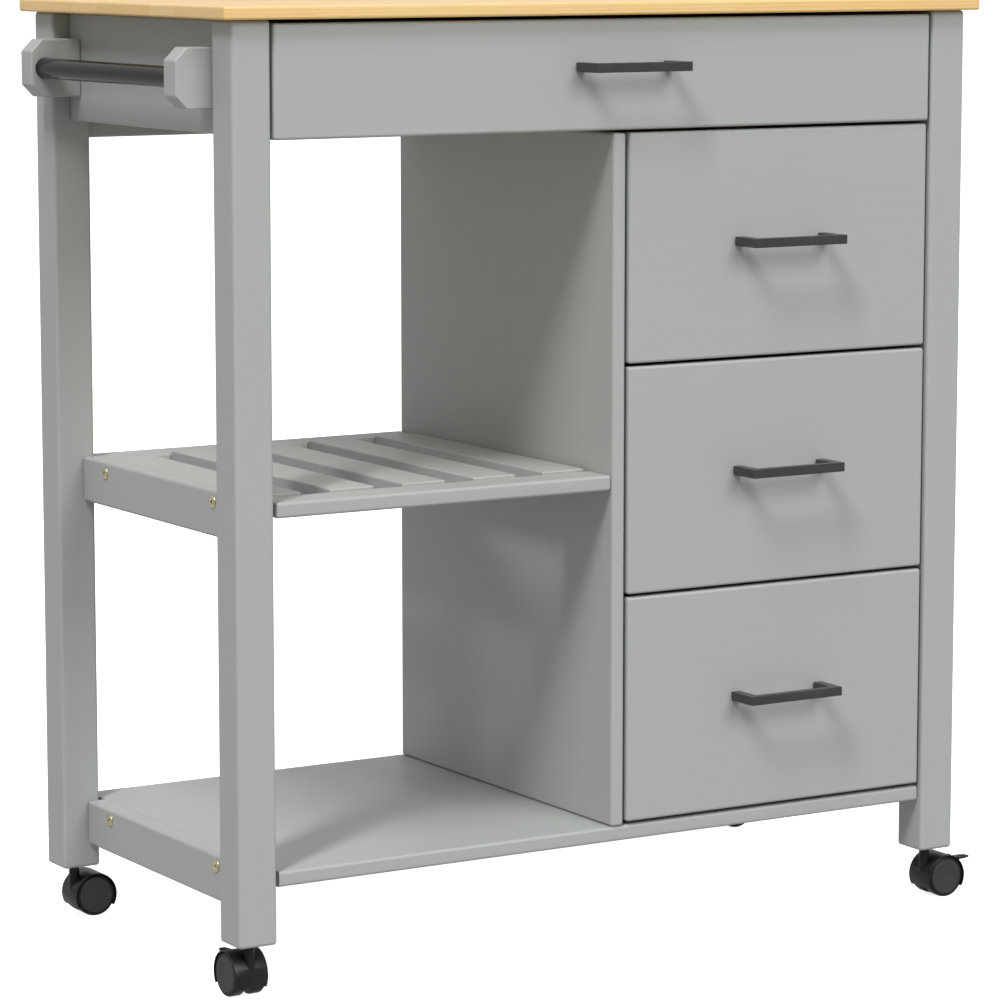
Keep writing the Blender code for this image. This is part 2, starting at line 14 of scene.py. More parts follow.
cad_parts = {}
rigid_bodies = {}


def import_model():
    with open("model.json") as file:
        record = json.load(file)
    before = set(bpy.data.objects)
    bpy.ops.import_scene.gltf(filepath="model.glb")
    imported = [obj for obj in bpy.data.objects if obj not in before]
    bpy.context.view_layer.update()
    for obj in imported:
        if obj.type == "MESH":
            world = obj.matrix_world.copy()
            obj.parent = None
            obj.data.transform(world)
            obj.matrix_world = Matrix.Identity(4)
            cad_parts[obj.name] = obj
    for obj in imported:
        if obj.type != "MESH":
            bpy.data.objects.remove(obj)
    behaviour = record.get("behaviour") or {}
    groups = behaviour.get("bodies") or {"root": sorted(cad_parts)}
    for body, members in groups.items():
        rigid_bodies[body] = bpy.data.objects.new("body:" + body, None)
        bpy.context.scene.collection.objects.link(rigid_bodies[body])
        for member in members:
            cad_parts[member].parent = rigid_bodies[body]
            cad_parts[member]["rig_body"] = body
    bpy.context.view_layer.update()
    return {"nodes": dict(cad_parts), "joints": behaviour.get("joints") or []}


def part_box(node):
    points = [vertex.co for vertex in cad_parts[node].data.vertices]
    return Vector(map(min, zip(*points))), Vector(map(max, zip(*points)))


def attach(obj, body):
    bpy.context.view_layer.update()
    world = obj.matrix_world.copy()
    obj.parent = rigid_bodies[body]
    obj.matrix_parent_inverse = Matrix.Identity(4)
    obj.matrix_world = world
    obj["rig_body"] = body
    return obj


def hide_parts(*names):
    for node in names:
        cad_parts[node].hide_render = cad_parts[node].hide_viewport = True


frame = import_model()
JOINTS = {joint["name"]: joint for joint in frame["joints"]}
GOLDEN = 0.618034
X, Y, Z = 0, 1, 2
MM = 0.001


# ---------------------------------------------------------------- materials


class Shading:
    """One material's node tree, with short calls for the nodes that the finishes are made of."""

    def __init__(self, name, **constants):
        self.material = bpy.data.materials.new(name)
        self.material.use_nodes = True
        self.tree = self.material.node_tree
        self.shader = self.tree.nodes["Principled BSDF"]
        for socket, value in constants.items():
            self.shader.inputs[socket.replace("_", " ")].default_value = value

    def node(self, kind, feeds=None, **settings):
        made = self.tree.nodes.new(kind)
        for key, value in settings.items():
            setattr(made, key, value)
        for key, value in (feeds or {}).items():
            self.feed(made.inputs[key], value)
        return made

    def feed(self, socket, value):
        if isinstance(value, bpy.types.NodeSocket):
            self.tree.links.new(value, socket)
        else:
            socket.default_value = value

    def math(self, operation, a, b=0.0, c=0.0):
        return self.node("ShaderNodeMath", {0: a, 1: b, 2: c}, operation=operation).outputs[0]

    def vector(self, operation, a, b):
        return self.node("ShaderNodeVectorMath", {0: a, 1: b}, operation=operation).outputs[0]

    def scaled(self, vector, scale):
        return self.vector("MULTIPLY", vector, scale)

    def toned(self, colour, tone):
        return self.node("ShaderNodeVectorMath", {0: colour, "Scale": tone}, operation="SCALE").outputs[0]

    def split(self, vector):
        return self.node("ShaderNodeSeparateXYZ", {0: vector}).outputs

    def join(self, x, y, z):
        return self.node("ShaderNodeCombineXYZ", {0: x, 1: y, 2: z}).outputs[0]

    def noise(self, vector, scale, detail=2.0, roughness=0.5):
        feeds = {"Vector": vector, "Scale": scale, "Detail": detail, "Roughness": roughness}
        return self.node("ShaderNodeTexNoise", feeds).outputs["Fac"]

    def random(self, vector):
        return self.node("ShaderNodeTexWhiteNoise", {"Vector": vector}, noise_dimensions="3D").outputs

    def fade(self, value, start, end, low=0.0, high=1.0):
        """A smooth step from low to high as value goes from start to end."""
        feeds = {"Value": value, 1: start, 2: end, 3: low, 4: high}
        return self.node("ShaderNodeMapRange", feeds, interpolation_type="SMOOTHSTEP").outputs[0]

    def spread(self, value, low, high):
        """Value from 0 to 1, spread from low to high."""
        return self.node("ShaderNodeMapRange", {"Value": value, 3: low, 4: high}).outputs[0]

    def mix(self, share, a, b, blend="MIX"):
        made = self.node("ShaderNodeMix", data_type="RGBA", blend_type=blend)
        self.feed(made.inputs["Factor"], share)
        self.feed(made.inputs["A"], (*a, 1) if isinstance(a, tuple) else a)
        self.feed(made.inputs["B"], (*b, 1) if isinstance(b, tuple) else b)
        return made.outputs["Result"]

    def bump(self, height, distance, strength=1.0, under=None):
        feeds = {"Height": height, "Distance": distance, "Strength": strength}
        if under is not None:
            feeds["Normal"] = under
        return self.node("ShaderNodeBump", feeds).outputs["Normal"]

    def finish(self, colour, roughness, normal):
        self.feed(self.shader.inputs["Base Color"], colour)
        self.feed(self.shader.inputs["Roughness"], roughness)
        self.feed(self.shader.inputs["Normal"], normal)
        return self.material

    def place(self):
        return self.node("ShaderNodeTexCoord").outputs["Object"]

    def seed(self):
        """The piece's own number from 0 to 1."""
        return self.node("ShaderNodeAttribute", attribute_type="OBJECT", attribute_name="seed").outputs["Fac"]

    def along_grain(self, axis):
        """Object coordinates with the fibres along the first axis, shifted by the piece's seed."""
        xyz = self.split(self.place())
        order = {X: (0, 1, 2), Y: (1, 0, 2), Z: (2, 0, 1)}[axis]
        turned = self.join(*(xyz[i] for i in order))
        seed = self.seed()
        shift = self.join(seed, self.math("MULTIPLY", seed, 7.3), self.math("MULTIPLY", seed, 3.1))
        return self.vector("ADD", turned, shift)

    def from_middle(self, value, length):
        """How far value is from the middle of its stretch of that length: 0 there, 0.5 at the ends."""
        share = self.math("FRACT", self.math("DIVIDE", value, length))
        return self.math("ABSOLUTE", self.math("SUBTRACT", share, 0.5))

    def rings(self, place, spacing, pith, wander):
        """Growth rings round a pith line that runs along the first axis: 0 in early wood, 1 in late wood."""
        drift = self.noise(self.scaled(place, (1.6, 9, 9)), 1.0, 2.0)
        offset = self.vector("SUBTRACT", place, pith)
        _, across, depth = self.split(offset)
        squares = self.math("ADD", self.math("POWER", across, 2), self.math("POWER", depth, 2))
        radius = self.math("SQRT", squares)
        wandering = self.math("MULTIPLY_ADD", drift, wander, radius)
        turn = self.math("FRACT", self.math("DIVIDE", wandering, spacing))
        rise = self.fade(turn, 0.25, 0.88)
        fall = self.fade(turn, 0.9, 1.0, 1.0, 0.0)
        return self.math("MULTIPLY", rise, fall)

    def fibres(self, place, width):
        """Fine streaks, some thirty times longer than wide."""
        return self.noise(self.scaled(place, (1 / 30, 1, 1)), 1 / width, 3.0, 0.6)


PAINT = (0.398, 0.415, 0.395)


def painted_wood(axis):
    """Satin grey paint, through which growth rings and fibres just show."""
    s = Shading("painted_wood_" + "xyz"[axis])
    place = s.along_grain(axis)
    rings = s.rings(place, 0.0062, (0, 0.13, -0.04), 0.03)
    fibres = s.fibres(place, 0.0011)
    cloud = s.noise(s.scaled(place, (2, 9, 9)), 1.0, 3.0)
    stipple = s.noise(place, 900, 2.0)
    tone = s.math("MULTIPLY_ADD", s.seed(), 0.012, s.spread(cloud, 0.975, 1.012))
    tone = s.math("SUBTRACT", tone, s.math("MULTIPLY", rings, 0.008))
    tone = s.math("SUBTRACT", tone, s.math("MULTIPLY", fibres, 0.010))
    relief = s.math("MULTIPLY_ADD", rings, -0.35, s.math("MULTIPLY", fibres, 0.65))
    normal = s.bump(relief, 0.0002, 0.3)
    normal = s.bump(stipple, 0.00008, 0.35, normal)
    return s.finish(s.toned(PAINT, tone), s.spread(stipple, 0.42, 0.54), normal)


STAVE_WIDTH, BLOCK_LENGTH, FINGER_PITCH = 0.055, 0.46, 0.0064


def worktop_pine():
    """Lacquered pine staves, finger-jointed end to end and glued edge to edge; the fibres run along X."""
    s = Shading("worktop_pine", Coat_Weight=0.12, Coat_Roughness=0.25)
    place = s.place()
    x, y, z = s.split(place)
    row = s.math("FLOOR", s.math("DIVIDE", y, STAVE_WIDTH))
    row_random = s.random(s.join(row, 3.7, 0.5))["Value"]
    teeth = s.math("PINGPONG", s.math("ADD", y, z), FINGER_PITCH / 2)
    staggered = s.math("MULTIPLY_ADD", row_random, BLOCK_LENGTH, x)
    shifted = s.math("ADD", staggered, s.math("MULTIPLY", teeth, 2.0))
    block = s.math("FLOOR", s.math("DIVIDE", shifted, BLOCK_LENGTH))
    chance = s.random(s.join(row, block, 1.3))
    cr, cg, cb = s.split(chance["Color"])
    pith = s.join(0, s.math("MULTIPLY", s.math("SUBTRACT", cr, 0.5), 0.06), s.spread(cg, 0.86, 0.885))
    local_y = s.math("SUBTRACT", y, s.math("MULTIPLY_ADD", row, STAVE_WIDTH, STAVE_WIDTH / 2))
    local = s.join(s.math("ADD", x, s.math("MULTIPLY", cb, 9.0)), local_y, z)
    rings = s.rings(local, s.spread(chance["Value"], 0.0028, 0.0052), pith, 0.02)
    fibres = s.fibres(s.vector("ADD", local, s.join(chance["Value"], cr, cg)), 0.0009)
    cloud = s.noise(s.scaled(local, (3, 14, 14)), 1.0, 3.0)
    early = s.mix(chance["Value"], (0.86, 0.60, 0.272), (0.80, 0.52, 0.206))
    late = s.mix(chance["Value"], (0.76, 0.48, 0.172), (0.70, 0.395, 0.122))
    end_grain = s.math("ABSOLUTE", s.split(s.node("ShaderNodeTexCoord").outputs["Normal"])[0])
    share = s.math("MULTIPLY", rings, s.spread(cloud, 0.25, 0.75))
    share = s.math("MULTIPLY", share, s.spread(end_grain, 1.0, 0.35))
    colour = s.mix(share, early, late)
    colour = s.mix(s.fade(fibres, 0.45, 0.75, 0.0, 0.22), colour, (0.68, 0.41, 0.15))
    from_row = s.from_middle(y, STAVE_WIDTH)
    from_end = s.from_middle(shifted, BLOCK_LENGTH)
    glue = s.math("MAXIMUM", s.fade(from_row, 0.494, 0.4995), s.fade(from_end, 0.4991, 0.4999))
    colour = s.mix(s.math("MULTIPLY", glue, 0.45), colour, (0.50, 0.29, 0.11))
    knot_place = s.scaled(s.vector("ADD", local, s.join(0, cr, cg)), (9, 15, 15))
    knots = s.node("ShaderNodeTexVoronoi", {"Vector": knot_place, "Scale": 1.0})
    rare = s.fade(s.split(knots.outputs["Color"])[0], 0.86, 0.87)
    knot = s.math("MULTIPLY", s.fade(knots.outputs["Distance"], 0.04, 0.11, 1.0, 0.0), rare)
    colour = s.mix(s.math("MULTIPLY", knot, 0.75), colour, (0.30, 0.14, 0.05))
    relief = s.math("MULTIPLY_ADD", rings, 0.5, s.math("MULTIPLY", fibres, 0.5))
    normal = s.bump(s.math("SUBTRACT", relief, glue), 0.00012, 0.35)
    return s.finish(colour, s.spread(fibres, 0.30, 0.48), normal)


def bare_pine(axis):
    """Planed pine without a finish."""
    s = Shading("bare_pine_" + "xyz"[axis])
    place = s.along_grain(axis)
    rings = s.rings(place, 0.0041, (0, 0.09, -0.05), 0.024)
    fibres = s.fibres(place, 0.0008)
    cloud = s.noise(s.scaled(place, (3, 12, 12)), 1.0, 3.0)
    share = s.math("MULTIPLY", rings, s.spread(cloud, 0.3, 0.8))
    colour = s.mix(share, (0.76, 0.58, 0.37), (0.60, 0.39, 0.19))
    colour = s.mix(s.fade(fibres, 0.42, 0.75, 0.0, 0.3), colour, (0.54, 0.36, 0.19))
    relief = s.math("MULTIPLY_ADD", rings, 0.5, s.math("MULTIPLY", fibres, 0.6))
    return s.finish(colour, s.spread(fibres, 0.52, 0.70), s.bump(relief, 0.0002, 0.5))


def plywood():
    """Thin poplar plywood of the drawer floors, with wide faint figure."""
    s = Shading("plywood")
    place = s.along_grain(X)
    rings = s.rings(place, 0.019, (0, 0.05, -0.3), 0.05)
    fibres = s.fibres(place, 0.0007)
    colour = s.mix(s.math("MULTIPLY", rings, 0.6), (0.74, 0.60, 0.42), (0.62, 0.47, 0.30))
    colour = s.mix(s.fade(fibres, 0.4, 0.7, 0.0, 0.25), colour, (0.52, 0.39, 0.25))
    return s.finish(colour, s.spread(fibres, 0.55, 0.7), s.bump(fibres, 0.0001, 0.4))


def painted_fibreboard():
    """Thin fibreboard, spray-painted: even, with a fine dusty tooth."""
    s = Shading("painted_fibreboard")
    place = s.place()
    tooth = s.noise(place, 1400, 3.0, 0.7)
    cloud = s.noise(place, 7.0, 3.0)
    colour = s.mix(s.fade(cloud, 0.3, 0.7), (0.372, 0.392, 0.370), (0.392, 0.412, 0.390))
    return s.finish(colour, s.spread(tooth, 0.5, 0.66), s.bump(tooth, 0.00008, 0.5))


def powder_coat(name, dark, light, roughness, specular=0.6):
    """Black powder coat with its fine orange peel, a little browner where it is thin."""
    s = Shading(name, Specular_IOR_Level=specular)
    place = s.place()
    peel = s.noise(place, 1100, 2.0, 0.55)
    cloud = s.noise(place, 60, 3.0)
    colour = s.mix(s.fade(cloud, 0.3, 0.7), dark, light)
    rough = s.math("MULTIPLY_ADD", peel, 0.14, roughness)
    return s.finish(colour, rough, s.bump(peel, 0.00006, 0.4))


def moulded_nylon(name, dark, light, roughness, specular):
    """Injection-moulded nylon with a spark-eroded skin and faint flow marks."""
    s = Shading(name, Specular_IOR_Level=specular)
    place = s.place()
    skin = s.noise(place, 2600, 2.0, 0.6)
    flow = s.noise(s.scaled(place, (40, 40, 110)), 1.0, 3.0)
    colour = s.mix(s.fade(flow, 0.3, 0.7), dark, light)
    rough = s.math("MULTIPLY_ADD", skin, 0.14, s.spread(flow, roughness - 0.08, roughness))
    return s.finish(colour, rough, s.bump(skin, 0.00005, 0.6))


def plated_metal(name, light, dark, roughness):
    """Bright plated steel with fine turning marks and a slight tarnish."""
    s = Shading(name, Metallic=1.0)
    place = s.place()
    tarnish = s.noise(place, 380, 3.0)
    marks = s.noise(place, 4200, 1.0)
    colour = s.mix(s.fade(tarnish, 0.35, 0.75), light, dark)
    return s.finish(colour, s.math("MULTIPLY_ADD", tarnish, 0.15, roughness), s.bump(marks, 0.00003, 0.3))


PAINTED = {axis: painted_wood(axis) for axis in (X, Y, Z)}
BARE_PINE = {axis: bare_pine(axis) for axis in (X, Y)}
WORKTOP_PINE = worktop_pine()
PLYWOOD = plywood()
FIBREBOARD = painted_fibreboard()
SATIN_BLACK = powder_coat("satin_black", (0.028, 0.028, 0.026), (0.038, 0.037, 0.034), 0.27)
GLOSS_BLACK = powder_coat("gloss_black", (0.004, 0.004, 0.004), (0.006, 0.006, 0.006), 0.05, 0.3)
HOOD_NYLON = moulded_nylon("hood_nylon", (0.009, 0.009, 0.009), (0.013, 0.013, 0.012), 0.32, 0.32)
TREAD_NYLON = moulded_nylon("tread_nylon", (0.005, 0.005, 0.005), (0.008, 0.008, 0.008), 0.40, 0.3)
DISC_NYLON = moulded_nylon("disc_nylon", (0.031, 0.031, 0.030), (0.039, 0.039, 0.037), 0.46, 0.42)
BRASS = plated_metal("brass", (0.80, 0.74, 0.49), (0.60, 0.54, 0.33), 0.24)
# A darker copy of the brass: painted shade for the floor of the bolts' hexagon sockets.
PAINTED_SHADE_BRASS = plated_metal("painted_shade_brass", (0.26, 0.24, 0.14), (0.17, 0.15, 0.08), 0.4)
STEEL = plated_metal("steel", (0.62, 0.62, 0.60), (0.42, 0.41, 0.39), 0.28)


# ---------------------------------------------------------------- mesh tools


def new_piece(name, work, sharp_from=None):
    """An object from a bmesh given in the row frame; edges steeper than sharp_from degrees stay sharp."""
    bmesh.ops.recalc_face_normals(work, faces=work.faces)
    mesh = bpy.data.meshes.new(name)
    work.to_mesh(mesh)
    work.free()
    piece = bpy.data.objects.new(name, mesh)
    bpy.context.scene.collection.objects.link(piece)
    mesh.shade_smooth()
    if sharp_from is not None:
        mesh.set_sharp_from_angle(angle=math.radians(sharp_from))
    return piece


def even_normals(piece):
    """Flat faces stay flat beside their rounded edges."""
    weighted = piece.modifiers.new("even_normals", "WEIGHTED_NORMAL")
    weighted.keep_sharp = True


def box_work(low, high):
    work = bmesh.new()
    bmesh.ops.create_cube(work, size=1.0)
    low, high = Vector(low), Vector(high)
    for vertex in work.verts:
        share = vertex.co + Vector((0.5, 0.5, 0.5))
        vertex.co = Vector(low[i] + share[i] * (high[i] - low[i]) for i in range(3))
    return work


def rounded_box(name, low, high, radius, segments=4, flush=None):
    """A box with rounded edges; flush is a plane (axis, position) whose edges stay crisp at a neighbour."""
    work = box_work(low, high)
    edges = work.edges[:]
    if flush:
        axis, position = flush
        edges = [e for e in edges if any(abs(v.co[axis] - position) > 1e-6 for v in e.verts)]
    bmesh.ops.bevel(work, geom=edges, offset=radius, segments=segments, profile=0.5, affect="EDGES")
    piece = new_piece(name, work, 60)
    even_normals(piece)
    return piece


def cell_slab(name, points, cells, low, high, place, radius, segments=4):
    """A flat solid between two levels with rounded edges; cells are the convex parts of its outline.

    place turns (u, v, w) into a point, and each cell lists its points' numbers counterclockwise.
    """
    work = bmesh.new()
    under, over = ([work.verts.new(place(u, v, w)) for u, v in points] for w in (low, high))
    edges = {(cell[i - 1], cell[i]) for cell in cells for i in range(len(cell))}
    for cell in cells:
        work.faces.new([over[i] for i in cell])
        work.faces.new([under[i] for i in reversed(cell)])
    for i, j in edges:
        if (j, i) not in edges:
            work.faces.new((under[i], under[j], over[j], over[i]))
    bmesh.ops.recalc_face_normals(work, faces=work.faces)
    corners = [edge for edge in work.edges if edge.calc_face_angle() > 0.3]
    bmesh.ops.bevel(work, geom=corners, offset=radius, segments=segments, profile=0.5, affect="EDGES")
    piece = new_piece(name, work)
    even_normals(piece)
    return piece


def turned_work(profile, place, steps=72):
    """A profile of (radius, height) points, turned about the axis from place(0, 0, 0) to place(0, 0, 1)."""
    work = bmesh.new()
    rings = []
    for radius, height in profile:
        if radius < 1e-7:
            rings.append([work.verts.new(place(0, 0, height))])
            continue
        ring = []
        for i in range(steps):
            angle = 2 * math.pi * i / steps
            ring.append(work.verts.new(place(radius * math.cos(angle), radius * math.sin(angle), height)))
        rings.append(ring)
    for one, two in zip(rings, rings[1:]):
        for i in range(steps):
            j = (i + 1) % steps
            corners = [one[i % len(one)], one[j % len(one)], two[j % len(two)], two[i % len(two)]]
            work.faces.new(list(dict.fromkeys(corners)))
    return work


def upright(u, v, w):
    return Vector((u, v, w))


def moved_to(origin, turn=upright):
    """A place function that starts at origin."""
    return lambda u, v, w: Vector(origin) + turn(u, v, w)


def along_x(u, v, w):
    return Vector((w, u, v))


def along_y(u, v, w):
    return Vector((u, w, v))


def towards_minus_x(u, v, w):
    return Vector((-w, u, v))


def rod(name, radius, low, high, place, steps=48):
    """A plain round solid, used to cut or join."""
    return new_piece(name, turned_work([(0, low), (radius, low), (radius, high), (0, high)], place, steps))


def joined(piece, others, operation="DIFFERENCE"):
    """Cuts or joins piece with others, which are used up."""
    for other in others:
        modifier = piece.modifiers.new(other.name, "BOOLEAN")
        modifier.operation = operation
        modifier.solver = "EXACT"
        modifier.object = other
    graph = bpy.context.evaluated_depsgraph_get()
    mesh = bpy.data.meshes.new_from_object(piece.evaluated_get(graph))
    piece.modifiers.clear()
    piece.data = mesh
    for other in others:
        bpy.data.objects.remove(other)
    return piece


def smooth_by_angle(piece, degrees):
    piece.data.shade_smooth()
    piece.data.set_sharp_from_angle(angle=math.radians(degrees))
    return piece


SEEDS = {}


def show(piece, node, material, stands_for=True):
    """Puts a piece on the body of the CAD node that it details, with the given finish."""
    piece.data.materials.clear()
    piece.data.materials.append(material)
    piece["seed"] = (len(SEEDS) * GOLDEN) % 1.0
    SEEDS[piece.name] = piece["seed"]
    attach(piece, frame["nodes"][node]["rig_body"])
    if stands_for:
        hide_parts(node)
    return piece


# ---------------------------------------------------------------- boards

BORE_RADIUS, BORE_DEPTH = 0.0046, 0.031
SLEEVE_LENGTH, SLEEVE_WALL = 0.029, 0.4 * MM
EDGE = 0.003
LEG_EDGE = 0.0035
WORKTOP_EDGE = 0.0025
RUNNER_EDGE = 0.0008
PANEL_EDGE = 0.0004


def finished_board(node, axis, radius=EDGE, material=None, flush=None):
    low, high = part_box(node)
    piece = rounded_box(f"{node}_board", low, high, radius, flush=flush)
    return show(piece, node, material or PAINTED[axis])


def make_legs():
    """Posts with rounded edges, each with the sleeve that holds its caster's stem."""
    for node in sorted(n for n in frame["nodes"] if n.startswith("leg_")):
        low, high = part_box(node)
        post = rounded_box(f"{node}_post", low, high, LEG_EDGE, 5)
        foot = moved_to(((low.x + high.x) / 2, (low.y + high.y) / 2, low.z))
        joined(post, [rod("bore", BORE_RADIUS, -BORE_DEPTH, BORE_DEPTH, foot)])
        even_normals(post)
        show(post, node, PAINTED[Z])
        outer = BORE_RADIUS - 0.05 * MM
        inner = outer - SLEEVE_WALL
        start, end = 0.2 * MM, SLEEVE_LENGTH
        profile = [(inner, start), (outer, start), (outer, end), (inner, end), (inner, start)]
        show(new_piece(f"{node}_sleeve", turned_work(profile, foot), 40), node, STEEL, False)


def make_divider():
    """The upright board, notched at the back under the back rail."""
    low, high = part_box("divider")
    rail_low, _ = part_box("back_rail")
    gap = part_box("shelf_end_rail")[0].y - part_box("leg_front_left")[1].y
    notch_y, notch_z = rail_low.y - gap, rail_low.z - gap
    points = [
        (low.y, low.z),
        (notch_y, low.z),
        (high.y, low.z),
        (high.y, notch_z),
        (notch_y, notch_z),
        (notch_y, high.z),
        (low.y, high.z),
        (low.y, notch_z),
    ]
    cells = [(0, 1, 4, 7), (1, 2, 3, 4), (7, 4, 5, 6)]
    divider = cell_slab("divider_board", points, cells, low.x, high.x, along_x, EDGE)
    show(divider, "divider", PAINTED[Z])


def make_boards():
    for node in ("side_apron", "shelf_end_rail", "bottom_end_rail"):
        finished_board(node, Y, flush=(X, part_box(node)[1].x))
    for node in ("back_rail", "shelf_front_strip", "shelf_back_strip"):
        finished_board(node, X)
    finished_board("bottom_shelf", X, flush=(X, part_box("bottom_shelf")[0].x))
    finished_board("side_panel", Z)
    finished_board("back_panel", X, PANEL_EDGE, FIBREBOARD)
    for i in range(1, 6):
        node = f"shelf_slat_{i}"
        finished_board(node, Y, EDGE / 2, flush=(X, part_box(node)[0].x) if i == 1 else None)
    finished_board("worktop", X, WORKTOP_EDGE, WORKTOP_PINE)
    for node in sorted(n for n in frame["nodes"] if n.startswith("runner_")):
        finished_board(node, Y, RUNNER_EDGE, BARE_PINE[Y])


# ---------------------------------------------------------------- drawers

BOX_WALL = 0.012
BOX_FLOOR = 0.005
BOX_FLOOR_RISE = 0.006
BOX_EDGE = 0.0012
FLOOR_EDGE = 0.0003
FLOOR_IN_GROOVE = 0.004
HANDLE_END = 0.010
HANDLE_BAR = 0.008
HANDLE_EDGE = 0.0006
SCREW_HEAD = 0.0038


def make_drawer_box(drawer):
    """Two pine sides, a pine back between them and a plywood floor let into grooves."""
    node = f"{drawer}_box"
    low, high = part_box(node)
    wall = BOX_WALL
    left_high = (low.x + wall, high.y, high.z)
    right_low = (high.x - wall, low.y, low.z)
    hair = 0.1 * MM
    back_low = (low.x + wall + hair, high.y - wall, low.z)
    back_high = (high.x - wall - hair, high.y, high.z)
    show(rounded_box(f"{node}_left_side", low, left_high, BOX_EDGE, 3), node, BARE_PINE[Y])
    show(rounded_box(f"{node}_right_side", right_low, high, BOX_EDGE, 3), node, BARE_PINE[Y])
    show(rounded_box(f"{node}_back", back_low, back_high, BOX_EDGE, 3), node, BARE_PINE[X])
    groove = wall - FLOOR_IN_GROOVE
    floor_low = (low.x + groove, low.y + hair, low.z + BOX_FLOOR_RISE)
    floor_high = (high.x - groove, high.y - groove, low.z + BOX_FLOOR_RISE + BOX_FLOOR)
    show(rounded_box(f"{node}_floor", floor_low, floor_high, FLOOR_EDGE, 1), node, PLYWOOD)


def make_handle(drawer):
    """A flat bar bent to a U, with the heads of its two screws inside the drawer."""
    node = f"{drawer}_handle"
    low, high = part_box(node)
    inner_left, inner_right = low.x + HANDLE_END, high.x - HANDLE_END
    points = [
        (low.x, high.y),
        (low.x, low.y),
        (high.x, low.y),
        (high.x, high.y),
        (inner_right, high.y),
        (inner_right, low.y + HANDLE_BAR),
        (inner_left, low.y + HANDLE_BAR),
        (inner_left, high.y),
    ]
    cells = [(0, 1, 6, 7), (1, 2, 5, 6), (2, 3, 4, 5)]
    handle = cell_slab(f"{node}_bar", points, cells, low.z, high.z, upright, HANDLE_EDGE, 3)
    show(handle, node, SATIN_BLACK)
    _, front_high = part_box(f"{drawer}_front")
    for side, x in (("left", low.x + HANDLE_END / 2), ("right", high.x - HANDLE_END / 2)):
        seat = moved_to((x, front_high.y, (low.z + high.z) / 2), along_y)
        head = SCREW_HEAD
        profile = [
            (0, 0.0022),
            (0.45 * head, 0.0021),
            (0.8 * head, 0.0016),
            (head, 0.0007),
            (head, 0.0001),
            (0, 0.0001),
        ]
        screw = new_piece(f"{node}_screw_{side}", turned_work(profile, seat, 40), 50)
        arm, half = 0.55 * head, 0.09 * head
        slots = []
        for u, v in ((arm, half), (half, arm)):
            cut = box_work(seat(-u, -v, 0.0011), seat(u, v, 0.004))
            slots.append(new_piece("slot", cut))
        joined(screw, slots)
        show(smooth_by_angle(screw, 40), node, STEEL, False)


def make_drawers():
    for drawer in ("drawer_top", "drawer_upper", "drawer_middle", "drawer_lower"):
        finished_board(f"{drawer}_front", X)
        make_drawer_box(drawer)
        make_handle(drawer)


# ---------------------------------------------------------------- towel bar and bolts

BRACKET_CHAMFER = 0.0118
BAR_HOLE = 0.0104
BAR_RIM = 0.0006
BRACKET_EDGE = 0.0014
SOCKET_RADIUS = 0.0023


def make_towel_bar():
    low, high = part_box("towel_bar")
    centre = (low + high) / 2
    radius = (high.z - low.z) / 2
    length = high.y - low.y
    middle = moved_to((centre.x, low.y, centre.z), along_y)
    inner, end = radius - BAR_RIM, length - BAR_RIM
    profile = [(0, 0), (inner, 0), (radius, BAR_RIM), (radius, end), (inner, length), (0, length)]
    show(new_piece("towel_bar_tube", turned_work(profile, middle, 96), 30), "towel_bar", GLOSS_BLACK)
    for node in ("towel_bracket_front", "towel_bracket_back"):
        low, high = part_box(node)
        points = [
            (high.x, low.z),
            (high.x, high.z),
            (low.x + BRACKET_CHAMFER, high.z),
            (low.x, high.z - BRACKET_CHAMFER),
            (low.x, low.z + BRACKET_CHAMFER),
            (low.x + BRACKET_CHAMFER, low.z),
        ]
        cells = [(0, 1, 2, 5), (2, 3, 4, 5)]
        bracket = cell_slab(f"{node}_block", points, cells, low.y, high.y, along_y, BRACKET_EDGE)
        bore = rod("bore", BAR_HOLE, -0.0002, length + 0.0002, middle, 96)
        joined(bracket, [bore])
        even_normals(smooth_by_angle(bracket, 50))
        show(bracket, node, PAINTED[X])


def make_bolts():
    """Flat domed connector bolts with a hexagon socket, whose floor is lined with darker brass as painted
    shade.
    """
    for node in sorted(n for n in frame["nodes"] if n.startswith("bolt_")):
        low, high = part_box(node)
        radius = (high.z - low.z) / 2
        rail_low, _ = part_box("shelf_end_rail" if "shelf" in node else "bottom_end_rail")
        height = rail_low.x - low.x
        seat = moved_to((rail_low.x, (low.y + high.y) / 2, (low.z + high.z) / 2), towards_minus_x)
        profile = [
            (0, height),
            (0.58 * radius, height),
            (0.78 * radius, 0.93 * height),
            (0.92 * radius, 0.7 * height),
            (radius, 0.3 * height),
            (radius, 0.12 * height),
            (0, 0.12 * height),
        ]
        bolt = new_piece(f"{node}_head", turned_work(profile, seat, 48), 50)
        socket = rod("socket", SOCKET_RADIUS, 0.35 * height, 2 * height, seat, 6)
        joined(bolt, [socket])
        show(smooth_by_angle(bolt, 40), node, BRASS)
        # A disc of darker brass on the socket's floor: painted shade in the recess, not a different metal.
        wide = SOCKET_RADIUS - 0.1 * MM
        profile = [(0, 0.36 * height), (wide, 0.36 * height), (wide, 0.3 * height), (0, 0.3 * height)]
        show(new_piece(f"{node}_socket", turned_work(profile, seat, 6), 30), node, PAINTED_SHADE_BRASS, False)


# ---------------------------------------------------------------- casters

